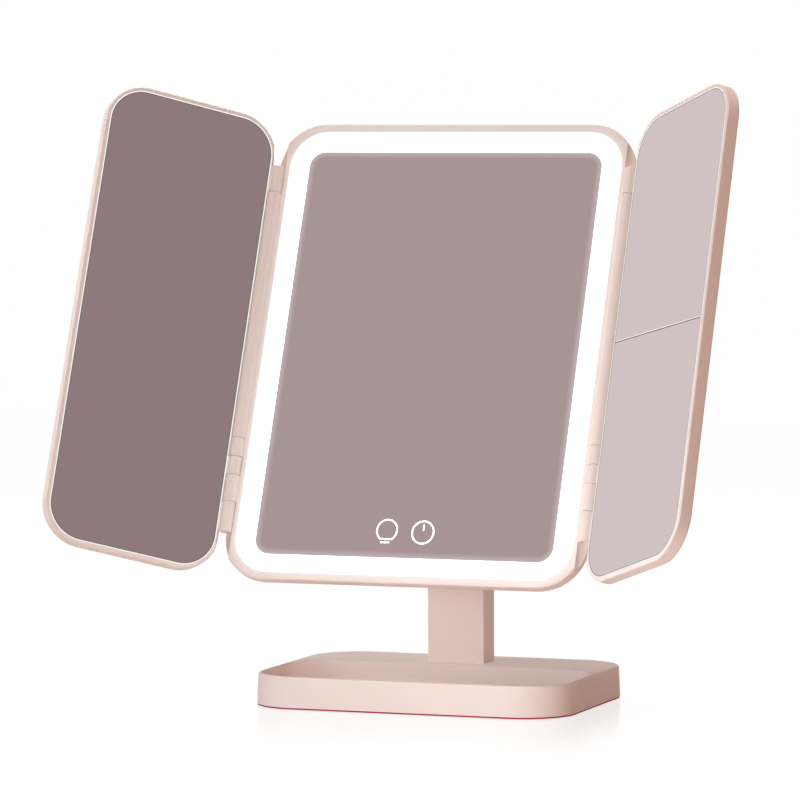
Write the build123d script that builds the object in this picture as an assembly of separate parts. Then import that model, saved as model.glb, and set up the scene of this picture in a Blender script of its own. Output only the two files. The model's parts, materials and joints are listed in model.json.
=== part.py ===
from build123d import *
import os
from math import atan2, cos, degrees, hypot, radians, sin, tan

# Lighted makeup mirror that opens in three: a tray base, a post, a tilting centre panel with a
# light ring, and two wings on knuckle hinges.
# Millimetres, +Z up, +X to the right of the person at the mirror, -Y towards that person.
# The origin is on the table under the middle of the base. Rest pose: half open, leaning back.

# Base
base_width = 171.0
base_depth = 123.0
base_height = 16.5
base_corner = 27.0
wall_draft = 2.5              # degrees, the skirt widens towards the table
skirt_wall = 2.2
tray_rim = 1.7                # width of the thin rim round the tray
tray_floor = 5.7              # height of the tray's floor above the table
tray_floor_wall = 1.8
tray_back_corner = 22.0
tray_floor_round = 3.0
shelf_depth = 44.9            # flat rear shelf, front to back
shelf_wall = 2.2
shelf_round = 1.2             # outer top edge
rim_round = 0.75
mat_thickness = 0.8           # the skirt stands on the mat
mat_inset = 0.9
cover_thickness = 1.6
cover_gap = 0.2
base_screw_inset = 5.2        # from the table edge of the skirt to a screw's middle
base_screw_from_corner = 20.5
boss_radius = 2.8
ballast_height = 10.0
ballast_corner = 8.0
ballast_gap = 0.5
ballast_foot_gap = 4.0

# Post
post_width = 31.1
post_depth = 16.7
post_rear_margin = 20.0       # from the post's back to the base's back edge
post_top = 187.1
post_wall = 2.0
post_edge_round = 0.8
post_cover_gap = 0.1
spine_width = 24.0
spine_depth = 10.9
spine_wall = 1.5
spine_gap = 0.3
foot_width = 60.0
foot_depth = 28.0
foot_plate = 2.0
foot_pad = 1.5
foot_hole_x = 24.0
foot_hole_y = 9.5

# Tilt hinge
pivot_rise = 19.0             # above the post's top
pivot_forward = 0.8           # the pivot stands ahead of the post's front face
barrel_outer = 7.5
bush_outer = 4.0
shaft_radius = 3.0
running_gap = 0.04
seat_gap = 0.02
thread_gap = 0.06             # round a screw's shank in the hole that it bites into
screw_hole_gap = 0.15         # round a screw where it only passes through
ear_gap = 0.35
ear_thickness = 3.0
ear_base = 9.0                # half height of an ear at the bracket's plate
bracket_width = 54.0
bracket_height = 34.0
bracket_plate = 2.0
bracket_hole_x = 22.5
bracket_hole_y = 12.5
shaft_flat = 2.4
shaft_head_radius = 5.5
shaft_head = 2.0
disc_spring = 0.8
nut_width = 9.0
nut_height = 3.8
stub_length = 26.0
head_back_round = 4.0

# Centre panel, in its own axes: X right, Y up the panel, Z out of the mirror, zero on its face
panel_tilt = 22.5             # degrees, leaning back
pivot_behind_face = 25.7
pivot_above_centre = 37.7
mirror_width = 160.5
mirror_height = 219.8
mirror_corner = 8.0
mirror_rise = -0.7            # the mirror sits a little below the panel's middle
mirror_thickness = 1.5
lit_side = 10.85              # width of the lit border
lit_end = 10.4
side_lip = 6.65               # width of the rim outside the lit border
end_lip = 4.2
panel_corner = 24.5
rim_front = 1.4               # the rim stands proud of the mirror
frame_parting = -2.6
housing_back = -6.4
housing_wall = 1.5
side_wall = 2.0
housing_round = 1.6
opening_corner = 19.0
lip_round = 1.1
ring_face = -0.3
ring_thickness = 2.0
ring_overlap = 0.9
ring_gap = 0.15
shield_inset = 1.0
shield_wall = 1.2
shield_plate = 0.6
board_thickness = 0.8
led_board_gap = 2.0
led_length = 3.5
led_width = 2.8
led_height = 0.8
led_count = 56
touch_width = 44.0
touch_height = 14.0
touch_rise = -96.5

# Bulge on the back for the battery and electronics
pod_width = 116.0
pod_height = 116.0
pod_corner = 14.0
pod_depth = 9.0
pod_draft = 3.0
pod_wall = 2.0
pod_back_wall = 3.2
pod_round = 2.0
service_width = 104.0
service_height = 70.0
service_corner = 5.0
service_rise = -19.0
service_ledge = 7.0
service_cover = 1.6
service_gap = 0.15
battery_size = (48.0, 58.0, 5.2)
battery_place = (-21.0, -19.0)
control_size = (40.0, 34.0, 1.2)
control_place = (25.0, -38.0)
control_standoff = 1.5
socket_width = 9.0
socket_height = 3.0
socket_length = 7.4
socket_x = 33.0

# Wing hinges: knuckles from the top down are wing, long centre, friction sleeve, wing, centre, wing
hinge_edge_inset = 0.65       # from the panel's edge in to the pin's line
hinge_lift = 1.6              # the pins stand this much in front of the mirror faces
hinge_end_margin = 24.2       # from the panel's top and bottom to the hinge's ends
top_knuckle = 14.9
sleeve_knuckle = 10.2
middle_knuckle = 10.0
lower_centre_knuckle = 14.4
bottom_knuckle = 16.0
knuckle_radius = 3.5
scoop_gap = 0.35
knuckle_owners = ("wing", "centre", "sleeve", "wing", "centre", "wing")
knuckle_gap = 0.3
knuckle_end_round = 0.8       # top end of the hinge
knuckle_chamfer = 0.25
pin_radius = 1.5
pin_clearance = 0.05
pin_end_cover = 1.3
pin_grip_upper = 25.0
pin_grip_lower = 35.0
pin_mouth_radius = 2.2
pin_mouth_depth = 1.6
sleeve_key = 1.6

# Wings, each in its own axes: X out from the pin, Y up, Z out of the mirror, zero on the pin
left_wing_angle = 41.4        # degrees forward of flat
right_wing_angle = 44.2
wing_inner = 1.9
closing_gap = 0.35            # each closed wing stops this short of the panel's middle
wing_corner = 22.0
wing_glass_inner = 4.45
wing_side_rim = 2.5
wing_end_rim = 2.45
wing_glass_corner = 18.5
wing_thickness = 6.8
wing_round = 1.2
wing_rim_round = 0.6
wing_glass_recess = 0.05      # the glass lies almost flush with the wing's rim
glass_gap = 0.2
wing_glass = 2.0
wing_pad = 0.8
wing_cover = 1.4
wing_cover_wall = 2.2
wing_cover_gap = 0.15
wing_window_inset = 12.0
split_rise = 2.4              # seam between the two magnifying mirrors
split_gap = 0.6
upper_curve = 3000.0          # radii of the magnifying faces
lower_curve = 2400.0

# Screws: head radius, head height, shank radius, length under the head
small_screw = (2.4, 1.1, 1.2, 6.0)
flat_screw = (2.2, 0.9, 1.1, 6.5)
foot_screw = (2.6, 1.4, 1.4, 5.0)

# Worked out from the sizes above
draft_run = (base_height - mat_thickness) * tan(radians(wall_draft))
shelf_front = base_depth / 2 - shelf_depth
tray_front = -base_depth / 2 + draft_run + tray_rim
tray_width = base_width - 2 * (draft_run + tray_rim)
post_back = base_depth / 2 - post_rear_margin
post_front = post_back - post_depth
post_middle = (post_front + post_back) / 2
shelf_under = base_height - shelf_wall
foot_top = shelf_under - foot_pad
cover_top = mat_thickness + cover_thickness
spine_front = post_front + post_wall + spine_gap
spine_back = spine_front + spine_depth

pivot = Vector(0, post_front - pivot_forward, post_top + pivot_rise)
panel_up = Vector(0, sin(radians(panel_tilt)), cos(radians(panel_tilt)))
panel_out = Vector(0, -cos(radians(panel_tilt)), sin(radians(panel_tilt)))
panel_centre = pivot + panel_out * pivot_behind_face - panel_up * pivot_above_centre
panel_place = Plane(origin=panel_centre, x_dir=(1, 0, 0), z_dir=panel_out).location

opening_width = mirror_width + 2 * lit_side
opening_height = mirror_height + 2 * lit_end
panel_width = opening_width + 2 * side_lip
panel_height = opening_height + 2 * end_lip
pod_back = housing_back - pod_depth
housing_floor = housing_back + housing_wall
ring_back = ring_face - ring_thickness
ring_width = opening_width + 2 * ring_overlap
ring_height = opening_height + 2 * ring_overlap
shield_width = mirror_width - 2 * shield_inset
shield_height = mirror_height - 2 * shield_inset
led_inner_width = shield_width + 2 * led_board_gap
led_inner_height = shield_height + 2 * led_board_gap
led_path_width = (opening_width + led_inner_width) / 2
led_path_height = (opening_height + led_inner_height) / 2
bay_front = housing_back
bay_back = pod_back + pod_back_wall
barrel_half = post_width / 2 - ear_gap / 2
ear_inner = barrel_half + ear_gap
ear_outer = ear_inner + ear_thickness

hinge_half_spacing = panel_width / 2 - hinge_edge_inset
hinge_top = panel_height / 2 - hinge_end_margin
sleeve_low = -hinge_top + bottom_knuckle + lower_centre_knuckle + middle_knuckle
knuckle_seams = (hinge_top, hinge_top - top_knuckle, sleeve_low + sleeve_knuckle, sleeve_low,
                 sleeve_low - middle_knuckle, -hinge_top + bottom_knuckle, -hinge_top)

wing_reach = hinge_half_spacing - closing_gap
wing_height = panel_height
wing_glass_outer = wing_reach - wing_side_rim
wing_glass_height = wing_height - 2 * wing_end_rim
wing_front = rim_front - hinge_lift
wing_face = wing_front - wing_glass_recess
wing_back = wing_front - wing_thickness
glass_back = wing_face - wing_glass
pad_back = glass_back - wing_pad
cover_front = wing_back + wing_cover
wing_middle = (wing_inner + wing_reach) / 2
glass_middle = (wing_glass_inner + wing_glass_outer) / 2
glass_width = wing_glass_outer - wing_glass_inner


def slab(width, height, corner, low, high, x=0.0, y=0.0):
    """Rounded rectangle from one level to another."""
    return extrude(Pos(x, y, low) * RectangleRounded(width, height, corner), high - low)


def block(x_low, x_high, y_low, y_high, z_low, z_high):
    """Plain box given by its limits."""
    middle = Pos((x_low + x_high) / 2, (y_low + y_high) / 2, (z_low + z_high) / 2)
    return middle * Box(x_high - x_low, y_high - y_low, z_high - z_low)


def rod_x(radius, low, high, y=0.0, z=0.0):
    return Pos((low + high) / 2, y, z) * Rot(0, 90, 0) * Cylinder(radius, high - low)


def rod_y(radius, low, high, x=0.0, z=0.0):
    return Pos(x, (low + high) / 2, z) * Rot(90, 0, 0) * Cylinder(radius, high - low)


def rod_z(radius, low, high, x=0.0, y=0.0):
    return Pos(x, y, (low + high) / 2) * Cylinder(radius, high - low)


def screw(sizes, x, y, seat, point_up=False):
    """Screw along Z whose head rests on the level seat, with its shank down, or up if asked."""
    head_radius, head, shank, length = sizes
    way = 1 if point_up else -1
    shank_end = seat + way * length
    head_end = seat - way * head
    shank_part = rod_z(shank, min(seat, shank_end), max(seat, shank_end), x, y)
    head_part = rod_z(head_radius, min(seat, head_end), max(seat, head_end), x, y)
    return shank_part + head_part


def group(pieces):
    """Separate solids kept in one node."""
    return Compound(children=[solid for piece in pieces for solid in piece.solids()])


def both_sides(points):
    """Each point and its mirror image across the middle plane."""
    return [(side * x, y) for x, y in points for side in (-1, 1)]


base_screw_points = both_sides([
    (base_width / 2 - base_corner - base_screw_from_corner, base_depth / 2 - base_screw_inset),
    (base_width / 2 - base_screw_inset, (shelf_front + base_depth / 2 - base_corner) / 2)])
foot_screw_points = both_sides([(foot_hole_x, post_middle + foot_hole_y),
                                (foot_hole_x, post_middle - foot_hole_y)])
bracket_screw_points = both_sides([(bracket_hole_x, pivot_above_centre + bracket_hole_y),
                                   (bracket_hole_x, pivot_above_centre - bracket_hole_y)])
service_screw_points = both_sides([
    (service_width / 2 - service_ledge / 2, service_rise + service_height / 2 - service_ledge / 2),
    (service_width / 2 - service_ledge / 2, service_rise - service_height / 2 + service_ledge / 2)])


# Base

def make_base_tray():
    """Drafted skirt with the tray sunk into its front and a hollow under the shelf."""
    outline = Pos(0, 0, mat_thickness) * RectangleRounded(base_width, base_depth, base_corner)
    shell = extrude(outline, base_height - mat_thickness, taper=wall_draft)
    shell = fillet(shell.edges().group_by(Axis.Z)[-1], shelf_round)
    tray_depth = shelf_front - tray_front
    tray_middle = (shelf_front + tray_front) / 2
    front_corner = base_corner - draft_run - tray_rim
    sketch = RectangleRounded(tray_width, tray_depth, tray_back_corner)
    front_half = Rectangle(tray_width, tray_depth / 2, align=(Align.CENTER, Align.MAX))
    front_round = RectangleRounded(tray_width, tray_depth, front_corner)
    back_half = Rectangle(tray_width, tray_depth / 2, align=(Align.CENTER, Align.MIN))
    sketch = (sketch & back_half) + (front_round & front_half)
    tray = extrude(Pos(0, tray_middle, tray_floor) * sketch, base_height - tray_floor + 1)
    tray = fillet(tray.edges().group_by(Axis.Z)[0], tray_floor_round)
    shell -= tray
    inner = (base_width - 2 * skirt_wall, base_depth - 2 * skirt_wall, base_corner - skirt_wall)
    shell -= slab(*inner, mat_thickness - 1, tray_floor - tray_floor_wall)
    hollow = slab(*inner, mat_thickness, shelf_under)
    hollow &= block(-base_width, base_width, shelf_front + skirt_wall, base_depth, 0, base_height)
    pad = block(-foot_width / 2 - 2, foot_width / 2 + 2, shelf_front + skirt_wall,
                post_middle + foot_depth / 2 + 1, foot_top, shelf_under)
    shell = shell - hollow + (pad & slab(*inner, 0, base_height))
    for x, y in base_screw_points:
        boss = rod_z(boss_radius, cover_top, shelf_under, x, y) & slab(*inner, 0, base_height)
        shell = shell + boss - rod_z(flat_screw[2] + thread_gap, cover_top - 1, cover_top + 6.5, x, y)
    shell -= block(-spine_width / 2 - spine_gap, spine_width / 2 + spine_gap,
                   spine_front - spine_gap, spine_back + spine_gap, foot_top - 1, base_height + 1)
    for x, y in foot_screw_points:
        shell -= rod_z(foot_screw[2] + thread_gap, foot_top - 1, foot_top + 3.1, x, y)
    return shell


def make_base_bottom_cover():
    inset = skirt_wall + cover_gap
    plate = slab(base_width - 2 * inset, base_depth - 2 * inset, base_corner - inset,
                 mat_thickness, cover_top)
    for x, y in base_screw_points:
        plate -= rod_z(flat_screw[2] + screw_hole_gap, mat_thickness - 1, cover_top + 1, x, y)
        plate -= rod_z(flat_screw[0] + screw_hole_gap, mat_thickness - 1, mat_thickness + flat_screw[1], x, y)
    return plate


def make_anti_slip_mat():
    return slab(base_width - 2 * mat_inset, base_depth - 2 * mat_inset, base_corner - mat_inset,
                0, mat_thickness)


def make_ballast_blocks():
    """Two weights in the hollow under the shelf, between the post's foot and the screw bosses."""
    keep_off = base_screw_inset + boss_radius + ballast_gap
    x_low = foot_width / 2 + ballast_foot_gap
    x_high = base_width / 2 - keep_off
    y_low = shelf_front + skirt_wall + ballast_gap
    y_high = base_depth / 2 - keep_off
    return group([slab(x_high - x_low, y_high - y_low, ballast_corner, cover_top,
                       cover_top + ballast_height, side * (x_low + x_high) / 2,
                       (y_low + y_high) / 2) for side in (-1, 1)])


def make_base_screws():
    seat = mat_thickness + flat_screw[1]
    return group([screw(flat_screw, x, y, seat, point_up=True) for x, y in base_screw_points])


# Post

def make_post_spine():
    """Channel open to the back, with its foot plate under the shelf."""
    half = spine_width / 2
    channel = block(-half, half, spine_front, spine_back, foot_top - foot_plate, post_top)
    channel -= block(-half + spine_wall, half - spine_wall, spine_front + spine_wall,
                     spine_back + 1, foot_top, post_top + 1)
    foot = slab(foot_width, foot_depth, 4, foot_top - foot_plate, foot_top, 0, post_middle)
    spine = channel + foot
    for x, y in foot_screw_points:
        spine -= rod_z(foot_screw[2] + screw_hole_gap, foot_top - foot_plate - 1, foot_top + 1, x, y)
    for z in head_screw_levels:
        spine -= rod_y(small_screw[2] + screw_hole_gap, spine_front - 1, spine_front + spine_wall + 1, 0, z)
    for z in cover_screw_levels:
        spine -= rod_y(small_screw[2] + thread_gap, spine_front - 1, spine_front + spine_wall + 1, 0, z)
    return spine


head_screw_levels = (post_top - 8.0, post_top - 19.0)
cover_screw_levels = (base_height + 18.0, post_top - 36.0)


def make_post_foot_screws():
    seat = foot_top - foot_plate
    return group([screw(foot_screw, x, y, seat, point_up=True) for x, y in foot_screw_points])


def make_post_front_shell():
    """Front and both sides of the post in one moulding, open at the back."""
    shell = extrude(Pos(0, post_middle, base_height)
                    * RectangleRounded(post_width, post_depth, post_edge_round),
                    post_top - base_height)
    half = post_width / 2 - post_wall
    shell -= block(-half, half, post_front + post_wall, post_back + 1, base_height - 1, post_top + 1)
    return shell


def make_post_rear_cover():
    """Flat strip between the side walls, with two screw posts that reach the spine."""
    half = post_width / 2 - post_wall - post_cover_gap
    cover = block(-half, half, post_back - post_wall, post_back, base_height, post_top)
    web = spine_front + spine_wall
    for z in cover_screw_levels:
        cover += rod_y(boss_radius, web, post_back - post_wall, 0, z)
        cover -= rod_y(small_screw[2] + screw_hole_gap, web - 1, post_back + 1, 0, z)
        cover -= rod_y(small_screw[0] + screw_hole_gap, post_back - small_screw[1] - 0.2, post_back + 1, 0, z)
    return cover


def screw_along_y(sizes, seat, z, towards_back):
    """Screw along Y whose head rests on the level seat."""
    piece = screw(sizes, 0, 0, 0, point_up=True)
    turn = Rot(-90, 0, 0) if towards_back else Rot(90, 0, 0)
    return Pos(0, seat, z) * turn * piece


def make_post_cover_screws():
    reach = post_back - small_screw[1] - 0.2 - spine_front
    sizes = (small_screw[0], small_screw[1], small_screw[2], reach)
    seat = post_back - small_screw[1] - 0.2
    return group([screw_along_y(sizes, seat, z, False) for z in cover_screw_levels])


def make_tilt_head():
    """Neck that leans forward from the post's top to the barrel of the tilt hinge."""
    back = Pos(post_back - head_back_round, post_top + head_back_round) * Circle(head_back_round)
    foot = Pos((post_front + post_back) / 2, post_top + 0.5) * Rectangle(post_depth, 1)
    barrel = Pos(pivot.Y, pivot.Z) * Circle(barrel_outer)
    profile = make_hull((barrel + back + foot).edges())
    head = extrude(Plane.YZ * profile, barrel_half, both=True)
    sides = head.edges().group_by(Axis.X)
    head = chamfer(sides[0] + sides[-1], 0.4)
    stub_half = spine_width / 2 - spine_wall - seat_gap
    stub = block(-stub_half, stub_half, spine_front + spine_wall, spine_back - 0.4,
                 post_top - stub_length, post_top + 1)
    head += stub
    head -= rod_x(bush_outer, -post_width, post_width, pivot.Y, pivot.Z)
    for z in head_screw_levels:
        head -= rod_y(small_screw[2] + thread_gap, spine_front, spine_front + spine_wall + 6.6, 0, z)
    return head


def make_tilt_head_screws():
    head_room = (2.0, 0.25, small_screw[2], 6.0)
    return group([screw_along_y(head_room, spine_front, z, True) for z in head_screw_levels])


def make_tilt_bush():
    sleeve = rod_x(bush_outer, -barrel_half, barrel_half, pivot.Y, pivot.Z)
    return sleeve - rod_x(shaft_radius + running_gap, -post_width, post_width, pivot.Y, pivot.Z)


# Tilt hinge, panel side, in the panel's axes

def shaft_outline(gap):
    """Round bar with one flat."""
    bar = Circle(shaft_radius + gap)
    keep = Pos(0, (shaft_flat + gap - shaft_radius) / 2 - 0.5) * Rectangle(
        2 * shaft_radius + 1, shaft_radius + shaft_flat + gap + 1)
    return bar & keep


def along_pivot(sketch, low, high):
    """Carry a sketch along the tilt axis between two places across the panel."""
    plane = Plane(origin=(low, pivot_above_centre, -pivot_behind_face), x_dir=(0, 1, 0),
                  z_dir=(1, 0, 0))
    return extrude(plane * sketch, high - low)


def make_hinge_bracket():
    """Plate on the back of the bulge with two ears that carry the shaft."""
    plate = slab(bracket_width, bracket_height, 4, pod_back - bracket_plate, pod_back, 0,
                 pivot_above_centre)
    reach = pivot_behind_face + pod_back - bracket_plate
    foot = Pos(0, reach + bracket_plate / 2) * Rectangle(2 * ear_base, bracket_plate)
    ear = make_hull((Circle(barrel_outer) + foot).edges())
    for low in (-ear_outer, ear_inner):
        plate += along_pivot(ear, low, low + ear_thickness)
    plate -= along_pivot(shaft_outline(seat_gap), -ear_outer - 1, ear_outer + 1)
    for x, y in bracket_screw_points:
        plate -= rod_z(small_screw[2] + screw_hole_gap, pod_back - bracket_plate - 1, pod_back + 1, x, y)
    return plate


def make_bracket_screws():
    seat = pod_back - bracket_plate
    return group([screw(small_screw, x, y, seat, point_up=True) for x, y in bracket_screw_points])


def make_tilt_shaft():
    """Round in the bush, flatted in the ears, with a head at one end."""
    end = ear_outer + 2 * disc_spring + nut_height + 0.6
    bar = along_pivot(shaft_outline(0), -ear_outer, end)
    bar += along_pivot(Circle(shaft_radius), -barrel_half, barrel_half)
    return bar + along_pivot(Circle(shaft_head_radius), -ear_outer - shaft_head, -ear_outer)


def make_tilt_disc_springs():
    hole = Circle(shaft_radius + running_gap)
    low = ear_outer
    discs = []
    for radius in (6.2, 5.6):
        discs.append(along_pivot(Circle(radius) - hole, low, low + disc_spring))
        low += disc_spring
    return group(discs)


def make_tilt_nut():
    low = ear_outer + 2 * disc_spring
    outline = RegularPolygon(nut_width / 2, 6, major_radius=False)
    return along_pivot(outline - Circle(shaft_radius + seat_gap), low, low + nut_height)


# Centre panel

def make_rear_housing():
    """Shallow rear shell with a raised bulge, open inside, and its service opening."""
    shell = slab(panel_width, panel_height, panel_corner, housing_back, frame_parting)
    shell = fillet(shell.edges().group_by(Axis.Z)[0], housing_round)
    down = Plane(origin=(0, 0, housing_back), z_dir=(0, 0, -1))
    pod = extrude(down * RectangleRounded(pod_width, pod_height, pod_corner), pod_depth,
                  taper=pod_draft)
    pod = fillet(pod.edges().group_by(Axis.Z)[0], pod_round)
    shell += pod
    shell -= slab(panel_width - 2 * side_wall, panel_height - 2 * side_wall,
                  panel_corner - side_wall, housing_floor, frame_parting + 1)
    shell -= slab(pod_width - 2 * pod_wall, pod_height - 2 * pod_wall, pod_corner - pod_wall,
                  bay_back, bay_front)
    for x, y in bracket_screw_points:
        shell += rod_z(boss_radius + 0.4, bay_back, bay_front, x, y)
        shell -= rod_z(small_screw[2] + thread_gap, pod_back - 1, pod_back + 6.2, x, y)
    shell -= slab(service_width, service_height, service_corner, pod_back - 1,
                  pod_back + service_cover, 0, service_rise)
    inner_width = service_width - 2 * service_ledge
    inner_height = service_height - 2 * service_ledge
    shell -= slab(inner_width, inner_height, 3, pod_back, bay_back + 1, 0, service_rise)
    for x, y in service_screw_points:
        shell += rod_z(boss_radius, bay_back, bay_front, x, y)
        shell -= rod_z(small_screw[2] + thread_gap, pod_back, bay_front - 0.8, x, y)
    shell -= block(socket_x - socket_width / 2 - 0.1, socket_x + socket_width / 2 + 0.1,
                   -pod_height / 2 - 1, -pod_height / 2 + pod_wall + 1,
                   socket_low - 0.1, socket_low + socket_height + 0.1)
    shell -= block(-6, 6, 12, 18, housing_back - 1, housing_floor + 1)
    cx, cy = control_place
    for x in (-1, 1):
        for y in (-1, 1):
            shell += rod_z(1.8, bay_front - control_standoff, bay_front,
                           cx + x * (control_size[0] / 2 - 3), cy + y * (control_size[1] / 2 - 3))
    return shell


socket_low = bay_front - control_standoff - control_size[2] - socket_height


def make_service_cover():
    cover = slab(service_width - 2 * service_gap, service_height - 2 * service_gap,
                 service_corner - service_gap, pod_back, pod_back + service_cover, 0, service_rise)
    for x, y in service_screw_points:
        cover -= rod_z(small_screw[2] + screw_hole_gap, pod_back - 1, pod_back + 3, x, y)
        cover -= rod_z(small_screw[0] + screw_hole_gap, pod_back - 1, pod_back + 1.0, x, y)
    return cover


def make_service_cover_screws():
    sizes = (small_screw[0], 0.9, small_screw[2], 5.0)
    return group([screw(sizes, x, y, pod_back + 1.0, point_up=True) for x, y in service_screw_points])


def make_battery_pack():
    x, y = battery_place
    width, height, depth = battery_size
    return slab(width, height, 3, bay_front - depth, bay_front, x, y)


def make_control_board():
    """Board on its standoffs, with the charge controller and two inductors."""
    x, y = control_place
    width, height, thickness = control_size
    top = bay_front - control_standoff
    low = top - thickness
    board = block(x - width / 2, x + width / 2, y - height / 2, y + height / 2, low, top)
    board += block(x - 12, x - 5, y, y + 7, low - 1.0, low)
    board += block(x - 13, x - 7, y - 12, y - 6, low - 2.4, low)
    board += block(x + 8, x + 14, y + 6, y + 12, low - 2.4, low)
    return board


def make_charging_socket():
    """Metal shell of the charging inlet, flush with the bulge's lower wall."""
    half = socket_width / 2
    y_low = -pod_height / 2 + 0.6
    shell = block(socket_x - half, socket_x + half, y_low, y_low + socket_length,
                  socket_low, socket_low + socket_height)
    shell = fillet(shell.edges().filter_by(Axis.Y), 1.2)
    mouth = block(socket_x - half + 0.5, socket_x + half - 0.5, y_low - 1, y_low + 5,
                  socket_low + 0.5, socket_low + socket_height - 0.5)
    tongue = block(socket_x - half + 1.4, socket_x + half - 1.4, y_low + 0.4, y_low + 6,
                   socket_low + 1.15, socket_low + socket_height - 1.15)
    return shell - mouth + tongue


def knuckles_of(owner):
    """Lower and upper seam of each knuckle that this owner carries."""
    spans = zip(knuckle_seams[1:], knuckle_seams[:-1], knuckle_owners)
    return [(low, high) for low, high, who in spans if who == owner]


def knuckle(low, high):
    """One barrel of the wing hinge on the pin's line, with softened ends."""
    barrel = rod_y(knuckle_radius, low + knuckle_gap / 2, high - knuckle_gap / 2)
    ends = barrel.edges().filter_by(GeomType.CIRCLE).sort_by(Axis.Y)
    if high < knuckle_seams[0]:
        return chamfer([ends[0], ends[-1]], knuckle_chamfer)
    return chamfer(fillet(ends[-1], knuckle_end_round).edges().filter_by(GeomType.CIRCLE)
                   .sort_by(Axis.Y)[0], knuckle_chamfer)


def scoop(low, high, radius):
    return rod_y(radius, low, high)


def hinge_cuts(owner, ends_open):
    """Room for the knuckles of the other leaf, and past both ends of the hinge."""
    radius = knuckle_radius + scoop_gap
    cuts = [scoop(low - knuckle_gap / 2, high + knuckle_gap / 2, radius)
            for low, high in knuckles_of(owner)]
    if ends_open:
        cuts.append(scoop(knuckle_seams[0] - 1, panel_height, radius))
        cuts.append(scoop(-panel_height, knuckle_seams[-1] + 1, radius))
    return cuts


def make_centre_frame():
    """Front rim with the fixed knuckles down both sides."""
    frame = slab(panel_width, panel_height, panel_corner, frame_parting, rim_front)
    frame -= slab(opening_width, opening_height, opening_corner, frame_parting - 1, rim_front + 1)
    frame -= slab(ring_width + 2 * ring_gap, ring_height + 2 * ring_gap,
                  opening_corner + ring_overlap + ring_gap, frame_parting - 1, ring_face)
    frame = fillet(frame.edges().group_by(Axis.Z)[-1], lip_round)
    for side in (-1, 1):
        place = Pos(side * hinge_half_spacing, 0, hinge_lift)
        for cut in hinge_cuts("wing", True):
            frame -= place * cut
        for low, high in knuckles_of("sleeve"):
            frame -= place * scoop(low - knuckle_gap / 2, high + knuckle_gap / 2,
                                   knuckle_radius + seat_gap)
            frame -= place * sleeve_key_block(low, high, seat_gap)
        for low, high in knuckles_of("centre"):
            frame += place * knuckle(low, high)
        frame -= place * rod_y(pin_radius + seat_gap, pin_upper_low - 0.3, knuckle_seams[0])
        frame -= place * rod_y(pin_radius + seat_gap, knuckle_seams[-1], pin_lower_high + 0.3)
    return frame


pin_upper_high = knuckle_seams[0] - knuckle_gap / 2 - pin_end_cover
pin_upper_low = knuckle_seams[1] - pin_grip_upper
pin_lower_low = knuckle_seams[-1] + knuckle_gap / 2 + pin_mouth_depth + 0.1
pin_lower_high = knuckle_seams[2] + pin_grip_lower


def sleeve_key_block(low, high, gap):
    """Key under the friction sleeve that stops it from turning."""
    half = sleeve_key / 2 + gap
    return block(-half, half, low + 2 - gap, high - 2 + gap, -4.1 - gap, -knuckle_radius + 0.3)


def make_hinge_friction_sleeves():
    pieces = []
    for side in (-1, 1):
        for low, high in knuckles_of("sleeve"):
            sleeve = knuckle(low, high) + sleeve_key_block(low, high, 0)
            sleeve -= rod_y(pin_radius + seat_gap, low - 1, high + 1)
            pieces.append(Pos(side * hinge_half_spacing, 0, hinge_lift) * sleeve)
    return group(pieces)


def make_hinge_pins(low, high):
    return group([Pos(side * hinge_half_spacing, 0, hinge_lift) * rod_y(pin_radius, low, high)
                  for side in (-1, 1)])


def make_light_ring():
    """Opal plate with a pocket for the mirror, so that only its border shows."""
    plate = slab(ring_width, ring_height, opening_corner + ring_overlap, ring_back, ring_face)
    return plate - slab(mirror_width + 0.1, mirror_height + 0.1, mirror_corner + 0.05,
                        -mirror_thickness, 1, 0, mirror_rise)


def make_centre_mirror():
    return slab(mirror_width, mirror_height, mirror_corner, -mirror_thickness, 0, 0, mirror_rise)


def make_light_shield():
    """Plate behind the mirror with a wall that stands on the housing's floor."""
    tray = slab(shield_width, shield_height, mirror_corner, housing_floor, ring_back, 0, mirror_rise)
    tray -= slab(shield_width - 2 * shield_wall, shield_height - 2 * shield_wall,
                 mirror_corner - shield_wall, housing_floor - 1, ring_back - shield_plate, 0,
                 mirror_rise)
    return tray - slab(touch_width + 2, touch_height + 2, 1, housing_floor, ring_back + 1, 0,
                       touch_rise)


def make_touch_board():
    return slab(touch_width, touch_height, 1, ring_back - board_thickness, ring_back, 0, touch_rise)


def make_led_board():
    board = slab(opening_width, opening_height, opening_corner, housing_floor,
                 housing_floor + board_thickness)
    return board - slab(led_inner_width, led_inner_height, mirror_corner, housing_floor - 1,
                        housing_floor + 2, 0, mirror_rise)


def make_ring_leds():
    """White LEDs evenly along the middle of the ring board."""
    path = RectangleRounded(led_path_width, led_path_height,
                            (mirror_corner + opening_corner) / 2).wire()
    level = housing_floor + board_thickness + led_height / 2
    pieces = []
    for number in range(led_count):
        share = (number + 0.5) / led_count
        point = path.position_at(share)
        way = path.tangent_at(share)
        turn = degrees(atan2(way.Y, way.X))
        pieces.append(Pos(point.X, point.Y + mirror_rise / 2, level) * Rot(0, 0, turn)
                      * Box(led_length, led_width, led_height))
    return group(pieces)


# Wings, modelled as the right wing; the left one is its mirror image

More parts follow.
